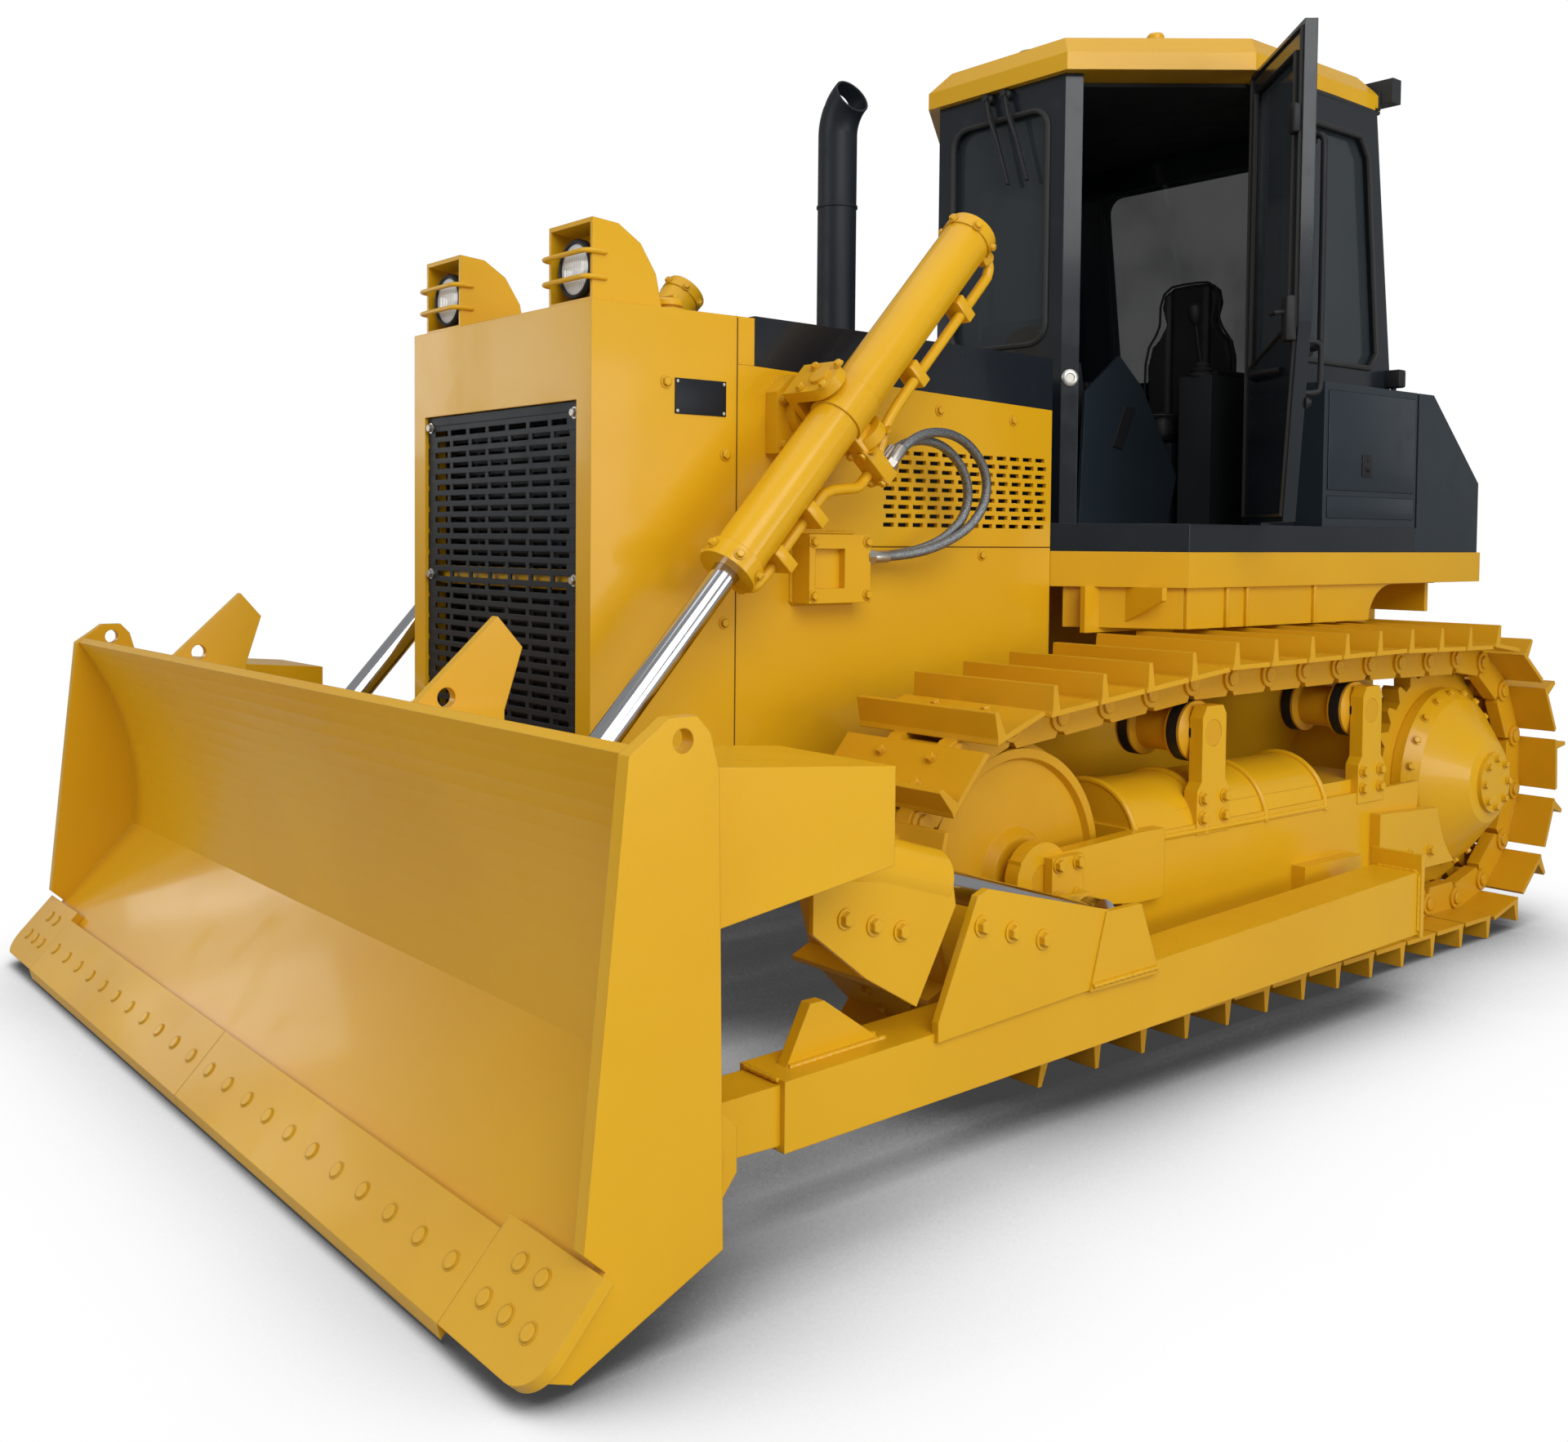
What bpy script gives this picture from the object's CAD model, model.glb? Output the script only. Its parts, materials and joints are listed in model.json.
import json
import math

import bpy
import bmesh
from mathutils import Matrix, Vector


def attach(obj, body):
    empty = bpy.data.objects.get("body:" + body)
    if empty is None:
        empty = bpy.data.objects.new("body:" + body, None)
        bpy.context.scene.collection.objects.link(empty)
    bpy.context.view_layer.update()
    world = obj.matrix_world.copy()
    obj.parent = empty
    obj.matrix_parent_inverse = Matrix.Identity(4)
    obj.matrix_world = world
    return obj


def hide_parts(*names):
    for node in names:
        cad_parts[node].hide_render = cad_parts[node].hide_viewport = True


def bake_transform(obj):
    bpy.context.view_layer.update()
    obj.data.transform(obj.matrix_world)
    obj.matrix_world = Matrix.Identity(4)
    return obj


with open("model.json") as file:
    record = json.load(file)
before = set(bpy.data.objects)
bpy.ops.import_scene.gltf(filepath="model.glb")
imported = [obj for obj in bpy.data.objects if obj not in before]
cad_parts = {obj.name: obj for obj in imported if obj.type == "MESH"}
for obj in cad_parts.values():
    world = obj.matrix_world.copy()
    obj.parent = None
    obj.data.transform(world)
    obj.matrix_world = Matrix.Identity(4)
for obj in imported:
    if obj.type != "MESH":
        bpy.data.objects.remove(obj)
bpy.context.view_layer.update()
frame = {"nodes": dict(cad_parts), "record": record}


# Camera, at the photograph's place: it stands off the left front corner of the
# machine at chest height, nearly level, with the lens axis left of and above
# the middle of the picture.
PHOTO_W, PHOTO_H = 1920, 1766
LENS_PX = 1864.0
AXIS_PX = (907.0, 732.0)
CAMERA_AT = (3.774, -3.755, 1.433)
CAMERA_TURN = (51.36, 2.25, 0.45)

azimuth, elevation, roll = (math.radians(a) for a in CAMERA_TURN)
back = Vector((math.sin(azimuth) * math.cos(elevation),
               -math.cos(azimuth) * math.cos(elevation), math.sin(elevation)))
level = Vector((math.cos(azimuth), math.sin(azimuth), 0))
upright = back.cross(level)
right = math.cos(roll) * level + math.sin(roll) * upright
up = math.cos(roll) * upright - math.sin(roll) * level
camera = bpy.data.objects.new("camera", bpy.data.cameras.new("camera"))
camera.data.sensor_fit = "HORIZONTAL"
camera.data.sensor_width = 36
camera.data.lens = 36 * LENS_PX / PHOTO_W
camera.data.shift_x = (PHOTO_W / 2 - AXIS_PX[0]) / PHOTO_W
camera.data.shift_y = (AXIS_PX[1] - PHOTO_H / 2) / PHOTO_W
camera.data.clip_end = 200
turn = Matrix((right, up, back)).transposed().to_4x4()
camera.matrix_world = Matrix.Translation(CAMERA_AT) @ turn
bpy.context.scene.collection.objects.link(camera)
bpy.context.scene.camera = camera
bpy.context.scene.view_settings.view_transform = "Standard"


# Lift cylinder hoses: two braided steel hoses from the port block on the left
# barrel, round in a free loop, to the steel box on the side of the nose. Each
# end is crimped into a sleeve with a hexagon nut.
class Wire:
    """A socket that takes Python operators, and makes any node of its tree."""

    def __init__(self, tree, socket):
        self.tree = tree
        self.socket = socket

    def node(self, kind, settings=None, out=0, **inputs):
        made = self.tree.nodes.new(kind)
        for key, value in (settings or {}).items():
            setattr(made, key, value)
        for key, value in inputs.items():
            socket = made.inputs[int(key[1:])] if key[0] == "i" and key[1:].isdigit() \
                else made.inputs[key.replace("_", " ")]
            if isinstance(value, Wire):
                self.tree.links.new(value.socket, socket)
            else:
                socket.default_value = value
        return Wire(self.tree, made.outputs[out])

    def math(self, operation, a, b=0.0, c=0.0):
        return self.node("ShaderNodeMath", {"operation": operation}, i0=a, i1=b, i2=c)

    def __add__(self, other):
        return self.math("ADD", self, other)

    def __radd__(self, other):
        return self.math("ADD", other, self)

    def __sub__(self, other):
        return self.math("SUBTRACT", self, other)

    def __rsub__(self, other):
        return self.math("SUBTRACT", other, self)

    def __mul__(self, other):
        return self.math("MULTIPLY", self, other)

    def __truediv__(self, other):
        return self.math("DIVIDE", self, other)

    def above(self, low, high):
        return self.node("ShaderNodeMapRange", {"interpolation_type": "SMOOTHSTEP"},
                         Value=self, i1=low, i2=high)

    def tint(self, a, b):
        mixed = self.node("ShaderNodeMix", {"data_type": "RGBA"}, out=2, i0=self)
        mix = mixed.socket.node
        for slot, colour in ((6, a), (7, b)):
            if isinstance(colour, Wire):
                self.tree.links.new(colour.socket, mix.inputs[slot])
            else:
                mix.inputs[slot].default_value = (*colour, 1)
        return mixed

    def noise(self, scale, detail=2.0, roughness=0.5):
        return self.node("ShaderNodeTexNoise", Vector=self, Scale=scale, Detail=detail,
                         Roughness=roughness)


def new_material(name):
    material = bpy.data.materials.new(name)
    material.use_nodes = True
    tree = material.node_tree
    shader = tree.nodes["Principled BSDF"]
    place = Wire(tree, tree.nodes.new("ShaderNodeTexCoord").outputs["Object"])
    return material, shader, place


def feed(shader, **values):
    tree = shader.id_data
    for key, value in values.items():
        socket = shader.inputs[key.replace("_", " ")]
        if isinstance(value, Wire):
            tree.links.new(value.socket, socket)
        else:
            socket.default_value = value


class Solid:
    """A mesh put together from turned, bent and cut pieces, in metres."""

    def __init__(self):
        self.bm = bmesh.new()

    def rings(self, loops, closed=False):
        made = [[self.bm.verts.new(p) for p in loop] for loop in loops]
        pairs = list(zip(made, made[1:])) + ([(made[-1], made[0])] if closed else [])
        for a, b in pairs:
            for i in range(len(a)):
                j = (i + 1) % len(a)
                self.bm.faces.new((a[i], a[j], b[j], b[i]))
        if not closed:
            self.bm.faces.new(list(reversed(made[0])))
            self.bm.faces.new(made[-1])
        return self

    def turned(self, at, axis, profile, sides=32, closed=False):
        aim = Vector(axis).to_track_quat("Z", "Y").to_matrix()
        steps = [2 * math.pi * i / sides for i in range(sides)]
        return self.rings([[Vector(at) + aim @ Vector((r * math.cos(a), r * math.sin(a), h))
                            for a in steps] for r, h in profile], closed)

    def tube(self, path, radius, sides=12, closed=False):
        points = [Vector(p) for p in path]
        count = len(points)
        loops = []
        side = None
        for i, point in enumerate(points):
            before = points[i - 1] if i or closed else point
            after = points[(i + 1) % count] if i + 1 < count or closed else point
            ahead = (after - before).normalized()
            if side is None:
                side = ahead.orthogonal().normalized()
            side = (side - ahead * side.dot(ahead)).normalized()
            other = ahead.cross(side)
            r = radius(i / (count - 1)) if callable(radius) else radius
            loops.append([point + r * (math.cos(a) * side + math.sin(a) * other)
                          for a in (2 * math.pi * k / sides for k in range(sides))])
        return self.rings(loops, closed)

    def plate(self, outline, across, start, thick):
        order = {"x": lambda u, v, w: (w, u, v), "y": lambda u, v, w: (u, w, v),
                 "z": lambda u, v, w: (u, v, w)}[across]
        return self.rings([[order(u, v, w) for u, v in outline] for w in (start, start + thick)])

    def block(self, low, high, edge=0.003):
        low, high = Vector(low), Vector(high)
        size = high - low
        made = bmesh.ops.create_cube(self.bm, size=1, matrix=Matrix.Translation((low + high) / 2)
                                     @ Matrix.Diagonal((*size, 1)))
        edges = list({e for v in made["verts"] for e in v.link_edges})
        bmesh.ops.bevel(self.bm, geom=edges, offset=edge, segments=2, profile=0.5, affect="EDGES")
        return self

    def join(self, other, matrix):
        held = bpy.data.meshes.new("held")
        other.bm.to_mesh(held)
        held.transform(matrix)
        self.bm.from_mesh(held)
        bpy.data.meshes.remove(held)
        return self

    def both(self):
        return self.join(self, Matrix.Diagonal((-1, 1, 1, 1)))

    def place(self, name, body, material, slot, smooth=35):
        bmesh.ops.remove_doubles(self.bm, verts=self.bm.verts, dist=1e-6)
        bmesh.ops.recalc_face_normals(self.bm, faces=self.bm.faces)
        mesh = bpy.data.meshes.new(name)
        self.bm.to_mesh(mesh)
        self.bm.free()
        mesh.polygons.foreach_set("use_smooth", [True] * len(mesh.polygons))
        mesh.set_sharp_from_angle(angle=math.radians(smooth))
        mesh.materials.append(material)
        made = bpy.data.objects.new(name, mesh)
        bpy.context.scene.collection.objects.link(made)
        if body:
            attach(made, body)
        return made


def smooth_path(points, steps=6):
    points = [Vector(p) for p in points]
    ends = [2 * points[0] - points[1]] + points + [2 * points[-1] - points[-2]]
    path = []
    for a, b, c, d in zip(ends, ends[1:], ends[2:], ends[3:]):
        for k in range(steps):
            t = k / steps
            path.append(0.5 * (2 * b + (c - a) * t + (2 * a - 5 * b + 4 * c - d) * t * t
                               + (3 * b - a - 3 * c + d) * t ** 3))
    return path + [points[-1]]


HOSE_D = 0.028
OUTER_HOSE = [(0.714, -0.786, 1.634), (0.714, -0.760, 1.662), (0.713, -0.727, 1.690),
              (0.710, -0.684, 1.715), (0.705, -0.632, 1.733), (0.700, -0.575, 1.740),
              (0.692, -0.515, 1.737), (0.684, -0.455, 1.722), (0.676, -0.402, 1.696),
              (0.669, -0.357, 1.658), (0.662, -0.329, 1.611), (0.655, -0.324, 1.560),
              (0.646, -0.340, 1.512), (0.636, -0.376, 1.470), (0.624, -0.428, 1.437),
              (0.612, -0.490, 1.411), (0.596, -0.550, 1.394), (0.578, -0.612, 1.385),
              (0.563, -0.668, 1.381), (0.556, -0.715, 1.380)]
INNER_HOSE = [(0.680, -0.786, 1.634), (0.680, -0.760, 1.662), (0.679, -0.727, 1.685),
              (0.676, -0.684, 1.704), (0.671, -0.632, 1.715), (0.665, -0.577, 1.716),
              (0.658, -0.523, 1.707), (0.650, -0.473, 1.688), (0.643, -0.430, 1.660),
              (0.637, -0.396, 1.625), (0.630, -0.375, 1.583), (0.622, -0.369, 1.539),
              (0.612, -0.379, 1.497), (0.600, -0.407, 1.461), (0.586, -0.449, 1.430),
              (0.568, -0.510, 1.405), (0.547, -0.575, 1.390), (0.528, -0.635, 1.382),
              (0.515, -0.682, 1.380), (0.510, -0.715, 1.380)]

braid, braid_shader, braid_place = new_material("steel_braid")
weave = braid_place.node("ShaderNodeTexWave", {"wave_type": "RINGS", "rings_direction": "Y"},
                         Vector=braid_place, Scale=38.0, Distortion=3.0, Detail=1.0)
strands = braid_place.node("ShaderNodeTexVoronoi", {"feature": "F1"}, Vector=braid_place,
                           Scale=420.0)
feed(braid_shader, Metallic=0.85, IOR=1.5,
     Base_Color=strands.above(0.1, 0.7).tint((0.46, 0.49, 0.50), (0.13, 0.14, 0.15)),
     Roughness=0.34 + strands * 0.2,
     Normal=braid_place.node("ShaderNodeBump", Strength=0.8, Distance=0.0012,
                             Height=1 - strands + weave * 0.2))
fitting_steel, fitting_shader, fitting_place = new_material("zinc_fittings")
zinc = fitting_place.noise(35.0, 3.0)
feed(fitting_shader, Metallic=0.9, Base_Color=zinc.tint((0.62, 0.60, 0.54), (0.44, 0.43, 0.40)),
     Roughness=0.26 + zinc * 0.18)

for hose_name, route in (("lift_hose_outer", OUTER_HOSE), ("lift_hose_inner", INNER_HOSE)):
    path = smooth_path(route)
    hose = Solid().tube(path, HOSE_D / 2, sides=14).place(hose_name, None, braid, "rod_chrome", 60)
    sum((b - a).length for a, b in zip(path, path[1:]))
    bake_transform(hose)
SLEEVE = [(0.012, -0.004), (0.024, -0.004), (0.024, 0.018), (0.018, 0.020), (0.018, 0.026),
          (0.0185, 0.070), (0.0165, 0.074), (0.0135, 0.074)]
for end_name, body, end in (("hose_ends_port", "lift_cylinder_left", 0),
                            ("hose_ends_box", "chassis", -1)):
    sleeves = Solid()
    for route in (OUTER_HOSE, INNER_HOSE):
        at, inner = Vector(route[end]), Vector(route[1 if end == 0 else -2])
        sleeves.turned(at, inner - at, SLEEVE[:3], sides=6)
        sleeves.turned(at, inner - at, SLEEVE[3:], sides=20)
    sleeves.place(end_name, body, fitting_steel, "rod_chrome")


# Studio: a white floor in a white room, shaded where the machine stands close to
# it. Large soft lights hang to the left, overhead and in front, and three window
# panes at the right give the blade its reflections.
def soft_light(name, at, aim, size, watts):
    lamp = bpy.data.objects.new(name, bpy.data.lights.new(name, "AREA"))
    lamp.data.shape = "RECTANGLE"
    lamp.data.size, lamp.data.size_y = size
    lamp.data.energy = watts
    lamp.location = at
    lamp.rotation_euler = (Vector(aim) - Vector(at)).to_track_quat("-Z", "Y").to_euler()
    bpy.context.scene.collection.objects.link(lamp)


soft_light("key_light", (9.0, -4.0, 7.0), (0, -0.3, 1.0), (8.0, 6.0), 640)
soft_light("side_light", (9.5, 1.0, 1.9), (0, 0.3, 0.8), (7.0, 2.4), 220)
soft_light("top_light", (0.5, -0.5, 9.5), (0, 0, 1.0), (8.0, 8.0), 200)
soft_light("front_light", (-2.0, -9.5, 4.0), (0, -1.0, 1.0), (6.0, 2.5), 200)
for pane_y in (-6.3, -5.0, -3.7):
    soft_light("window_light", (-7.5, pane_y, 2.8), (0, -2.3, 0.4), (0.8, 1.5), 13)

AMBIENT, MIRRORED = 0.26, 0.34
room = bpy.data.worlds.new("room")
room.use_nodes = True
bpy.context.scene.world = room
sky = room.node_tree.nodes["Background"]
rays = room.node_tree.nodes.new("ShaderNodeLightPath")
seen = Wire(room.node_tree, rays.outputs["Is Camera Ray"]) \
    + Wire(room.node_tree, rays.outputs["Is Transmission Ray"])
mirrored = Wire(room.node_tree, rays.outputs["Is Glossy Ray"]) * MIRRORED
strength = seen.math("MAXIMUM", seen.math("MINIMUM", seen, 1.0), mirrored)
room.node_tree.links.new(strength.math("MAXIMUM", strength, AMBIENT).socket, sky.inputs["Strength"])
sky.inputs["Color"].default_value = (1, 1, 1, 1)

floor_mesh = bpy.data.meshes.new("floor")
FLOOR_HALF = 40
floor_mesh.from_pydata([(x * FLOOR_HALF, y * FLOOR_HALF, 0)
                        for x, y in ((-1, -1), (1, -1), (1, 1), (-1, 1))],
                       [], [(0, 1, 2, 3)])
floor = bpy.data.objects.new("floor", floor_mesh)
bpy.context.scene.collection.objects.link(floor)
pale, pale_shader, pale_place = new_material("pale_floor")
pale_tree = pale.node_tree
pale_tree.nodes.remove(pale_shader)
floor_rays = pale_tree.nodes.new("ShaderNodeLightPath")
shown = Wire(pale_tree, floor_rays.outputs["Is Camera Ray"]) \
    + Wire(pale_tree, floor_rays.outputs["Is Transmission Ray"])
open_sky = pale_place.node("ShaderNodeAmbientOcclusion", {"samples": 16}, out="AO", Distance=1.0)
near = pale_place.node("ShaderNodeBsdfDiffuse", Color=(0.5, 0.5, 0.5, 1))
shade = pale_place.node("ShaderNodeEmission", Strength=0.05)
white = pale_place.node("ShaderNodeEmission", Strength=1.0)
faded = pale_place.node("ShaderNodeMixShader", i0=open_sky.above(0.28, 0.96), i1=shade, i2=white)
surface = pale_place.node("ShaderNodeMixShader", i0=shown, i1=near, i2=faded)
pale_tree.links.new(surface.socket, pale_tree.nodes["Material Output"].inputs["Surface"])
floor_mesh.materials.append(pale)


# Paint of the plates, covers and castings: thick gloss enamel sprayed over the
# welded steel. It is a little cloudy and orange-peeled, and rubbed paler along
# the edges.
def paint(name, colour, deep, worn, rough, coat, peel=0.10, grain=240.0, gleam=0.30):
    material, shader, place = new_material(name)
    cloud = place.noise(1.3, 3.0)
    grime = place.noise(9.0, 5.0, 0.65)
    skin = place.noise(grain, 1.0)
    edge = place.node("ShaderNodeBevel", {"samples": 4}, Radius=0.004)
    true = Wire(place.tree, place.tree.nodes.new("ShaderNodeNewGeometry").outputs["Normal"])
    meet = place.node("ShaderNodeVectorMath", {"operation": "DOT_PRODUCT"}, out="Value", i0=edge,
                      i1=true)
    rubbed = (1 - meet).above(0.02, 0.30) * grime.above(0.42, 0.62)
    body = cloud.above(0.35, 0.7).tint(colour, deep)
    feed(shader, Base_Color=(rubbed * 0.55).tint(body, worn),
         Roughness=rough + grime.above(0.45, 0.75) * 0.10, Coat_Weight=coat, Coat_Roughness=0.07,
         Specular_IOR_Level=gleam,
         Normal=place.node("ShaderNodeBump", Strength=peel, Distance=0.0004, Height=skin,
                           Normal=edge))
    return material


yellow_paint = paint("yellow_paint", (0.74, 0.405, 0.009), (0.70, 0.370, 0.007), (0.80, 0.52, 0.09),
                     0.28, 0.16)
edge_paint = paint("edge_paint", (0.74, 0.410, 0.014), (0.66, 0.350, 0.012), (0.80, 0.56, 0.16),
                   0.34, 0.10,
                   peel=0.55, grain=95.0)
black_paint = paint("black_paint", (0.009, 0.013, 0.018), (0.013, 0.017, 0.023),
                    (0.05, 0.055, 0.06), 0.20, 0.18)
slate_paint = paint("slate_paint", (0.017, 0.025, 0.034), (0.022, 0.031, 0.041), (0.07, 0.08, 0.09),
                    0.34, 0.08)
track_paint = paint("track_paint", (0.69, 0.355, 0.008), (0.61, 0.305, 0.006), (0.74, 0.46, 0.07),
                    0.38, 0.12)
dull_black = paint("dull_black", (0.012, 0.012, 0.014), (0.017, 0.017, 0.019), (0.05, 0.05, 0.05),
                   0.50, 0.0)
trim_grey = paint("trim_grey", (0.024, 0.027, 0.030), (0.031, 0.034, 0.037), (0.07, 0.07, 0.07),
                  0.50, 0.0)
pipe_black = paint("pipe_black", (0.010, 0.013, 0.018), (0.014, 0.018, 0.023), (0.05, 0.05, 0.05),
                   0.42, 0.0, gleam=0.2)

glass, glass_shader, glass_place = new_material("cab_window_glass")
smear = glass_place.noise(3.0, 4.0)
feed(glass_shader, Roughness=0.02 + smear.above(0.5, 0.8) * 0.02, IOR=1.45,
     Base_Color=smear.tint((0.030, 0.040, 0.046), (0.044, 0.054, 0.060)),
     Alpha=0.76 + smear.above(0.4, 0.8) * 0.06)

chrome, chrome_shader, chrome_place = new_material("rod_chrome")
brushed = chrome_place.node("ShaderNodeMapping", Vector=chrome_place, Scale=(60, 4, 4))
streaks = brushed.noise(3.0, 2.0)
feed(chrome_shader, Base_Color=streaks.tint((0.66, 0.67, 0.69), (0.50, 0.51, 0.54)), Metallic=1.0,
     Roughness=0.09 + streaks * 0.10)

lamp_lens, lens_shader, lens_place = new_material("lamp_lens")
ribs = lens_place.node("ShaderNodeTexWave", {"bands_direction": "X"}, Vector=lens_place, Scale=38.0)
feed(lens_shader, Base_Color=ribs.tint((0.62, 0.63, 0.61), (0.80, 0.81, 0.79)), Roughness=0.12,
     Coat_Weight=0.8, Normal=lens_place.node("ShaderNodeBump", Strength=0.5, Distance=0.002,
                                             Height=ribs))

rubber, rubber_shader, rubber_place = new_material("black_rubber")
bloom = rubber_place.noise(14.0, 4.0)
feed(rubber_shader, Base_Color=bloom.tint((0.012, 0.012, 0.012), (0.026, 0.026, 0.025)),
     Roughness=0.58 + bloom * 0.2,
     Normal=rubber_place.node("ShaderNodeBump", Strength=0.2, Distance=0.0005,
                              Height=rubber_place.noise(300.0)))

LOOK = {"black_paint": black_paint, "slate_paint": slate_paint, "track_paint": track_paint,
        "edge_paint": edge_paint, "yellow_paint": yellow_paint, "rod_chrome": chrome,
        "window_glass": glass, "lamp_glass": lamp_lens, "seat_vinyl": dull_black,
        "cab_trim": trim_grey, "exhaust_black": pipe_black, "grille_black": dull_black,
        "engine_grey": trim_grey}
for row in frame["record"]["subparts"]:
    skin_object = frame["nodes"][row["node"]]
    skin_object.data.materials.clear()
    skin_object.data.materials.append(LOOK[row["material_slot"]])


# Track chains: forged links on pins and bushings, with four bolts to a shoe.
# Every joint shows the turned end of its pin in the boss of the link, and the
# bushing between the rails that the sprocket teeth push on.
def stud_tree():
    tree = bpy.data.node_groups.new("studs", "GeometryNodeTree")
    for label, kind, way in (("Places", "Geometry", "INPUT"), ("Base radius", "Float", "INPUT"),
                             ("Base height", "Float", "INPUT"), ("Head radius", "Float", "INPUT"),
                             ("Head height", "Float", "INPUT"), ("Sides", "Int", "INPUT"),
                             ("Finish", "Material", "INPUT"), ("Studs", "Geometry", "OUTPUT")):
        tree.interface.new_socket(label, in_out=way, socket_type="NodeSocket" + kind)
    given = tree.nodes.new("NodeGroupInput")
    places, base_r, base_h, head_r, head_h, sides, finish = (
        Wire(tree, given.outputs[i]) for i in range(7))

    def raised(shape, height):
        lifted = places.node("ShaderNodeCombineXYZ", Z=height)
        return places.node("GeometryNodeTransform", Geometry=shape, Translation=lifted)

    def drum(radius, low, high, count):
        shape = places.node("GeometryNodeMeshCylinder", Vertices=count, Radius=radius,
                            Depth=high - low)
        return raised(shape, (low + high) / 2)

    shoulder = base_h + head_h * 0.75
    cone = places.node("GeometryNodeMeshCone", Vertices=sides, Radius_Bottom=head_r,
                       Radius_Top=head_r * 0.82, Depth=base_h + head_h - shoulder)
    washer = drum(base_r, 0.0, base_h, 16)
    head = drum(head_r, base_h, shoulder, sides)
    crown = raised(cone, shoulder)
    stud = tree.nodes.new("GeometryNodeJoinGeometry")
    for piece in (washer, head, crown):
        tree.links.new(piece.socket, stud.inputs[0])
    outward = places.node("GeometryNodeInputNamedAttribute", {"data_type": "FLOAT_VECTOR"},
                          Name="outward")
    aim = places.node("FunctionNodeAlignRotationToVector", {"axis": "Z"}, Vector=outward)
    copies = places.node("GeometryNodeInstanceOnPoints", Points=places, Rotation=aim,
                         Instance=Wire(tree, stud.outputs[0]))
    solid = places.node("GeometryNodeRealizeInstances", Geometry=copies)
    coloured = places.node("GeometryNodeSetMaterial", Geometry=solid, Material=finish)
    result = tree.nodes.new("NodeGroupOutput")
    tree.links.new(coloured.socket, result.inputs[0])
    return tree


STUDS = stud_tree()


def studs(name, body, spots, base, head, material, sides=6):
    """Bolts or pin ends at (point, outward) spots: a washer and a head each."""
    mesh = bpy.data.meshes.new(name)
    mesh.from_pydata([tuple(at) for at, _ in spots], [], [])
    outward = mesh.attributes.new("outward", "FLOAT_VECTOR", "POINT")
    outward.data.foreach_set("vector", [c for _, way in spots for c in way])
    made = bpy.data.objects.new(name, mesh)
    bpy.context.scene.collection.objects.link(made)
    nodes = made.modifiers.new("studs", "NODES")
    nodes.node_group = STUDS
    values = dict(zip(("Base radius", "Base height", "Head radius", "Head height", "Sides",
                       "Finish"),
                      (*base, *head, sides, material)))
    for item in STUDS.interface.items_tree:
        if item.name in values:
            nodes[item.identifier] = values[item.name]
    graph = bpy.context.evaluated_depsgraph_get()
    plain = bpy.data.meshes.new_from_object(made.evaluated_get(graph))
    made.modifiers.clear()
    made.data = plain
    bpy.data.meshes.remove(mesh)
    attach(made, body)


TRACK_X = 0.940
SHOE_COUNT = 37
SPROCKET, SPROCKET_R = Vector((1.822, 0.567)), 0.440
IDLER, IDLER_R = Vector((-0.616, 0.527)), 0.400
CARRIERS = (Vector((0.187, 1.010)), Vector((1.092, 1.019)))
RAIL_X, RAIL_W = 0.092, 0.046
SHOE_OUT = 0.060


def heading(v):
    return math.atan2(v.y, v.x)


def round_wheel(centre, r, a):
    return centre + r * Vector((math.cos(a), math.sin(a)))


front_a = heading(CARRIERS[0] - IDLER) + math.acos(IDLER_R / (CARRIERS[0] - IDLER).length)
rear_a = heading(CARRIERS[1] - SPROCKET) - math.acos(SPROCKET_R / (CARRIERS[1] - SPROCKET).length)
pin_low = SPROCKET.y - SPROCKET_R
front_t = round_wheel(IDLER, IDLER_R, front_a)
rear_t = round_wheel(SPROCKET, SPROCKET_R, rear_a)
RUNS = [(Vector((IDLER.x, pin_low)), Vector((SPROCKET.x, pin_low))),
        (SPROCKET, SPROCKET_R, -math.pi / 2, rear_a), (rear_t, CARRIERS[1]),
        (CARRIERS[1], CARRIERS[0]), (CARRIERS[0], front_t),
        (IDLER, IDLER_R, front_a, 1.5 * math.pi)]
LENGTHS = [(run[1] - run[0]).length if len(run) == 2 else run[1] * (run[3] - run[2])
           for run in RUNS]
PITCH = sum(LENGTHS) / SHOE_COUNT


def loop_at(s):
    s %= sum(LENGTHS)
    for run, length in zip(RUNS, LENGTHS):
        if s < length:
            break
        s -= length
    if len(run) == 2:
        ahead = (run[1] - run[0]).normalized()
        return run[0] + ahead * s, heading(ahead)
    a = run[2] + s / run[1]
    return round_wheel(run[0], run[1], a), a + math.pi / 2


def link_point(i, t, n):
    at, a = loop_at((i + 0.5) * PITCH)
    return at + t * Vector((math.cos(a), math.sin(a))) + n * Vector((math.sin(a), -math.cos(a)))


shoe_bolts, pin_ends, bushings = [], [], []
for side in (1, -1):
    for i in range(SHOE_COUNT):
        _, a = loop_at((i + 0.5) * PITCH)
        for dx in (-RAIL_X, RAIL_X):
            for t in (-0.052, 0.030):
                at = link_point(i, t, SHOE_OUT)
                shoe_bolts.append(((side * TRACK_X + dx, at.x, at.y),
                                   (0, math.sin(a), -math.cos(a))))
        joint = (link_point(i - 1, PITCH / 2, 0) + link_point(i, -PITCH / 2, 0)) / 2
        for way in (-1, 1):
            face = side * TRACK_X + way * (RAIL_X + RAIL_W / 2 - 0.001)
            pin_ends.append(((face, joint.x, joint.y), (way, 0, 0)))
        bushings.append(((side * TRACK_X - RAIL_X + RAIL_W / 2 - 0.001, joint.x, joint.y),
                         (1, 0, 0)))
studs("shoe_bolts", "chassis", shoe_bolts, (0.017, 0.003), (0.0145, 0.013), track_paint)
studs("track_pin_ends", "chassis", pin_ends, (0.040, 0.010), (0.024, 0.009), track_paint,
      16)
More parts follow.
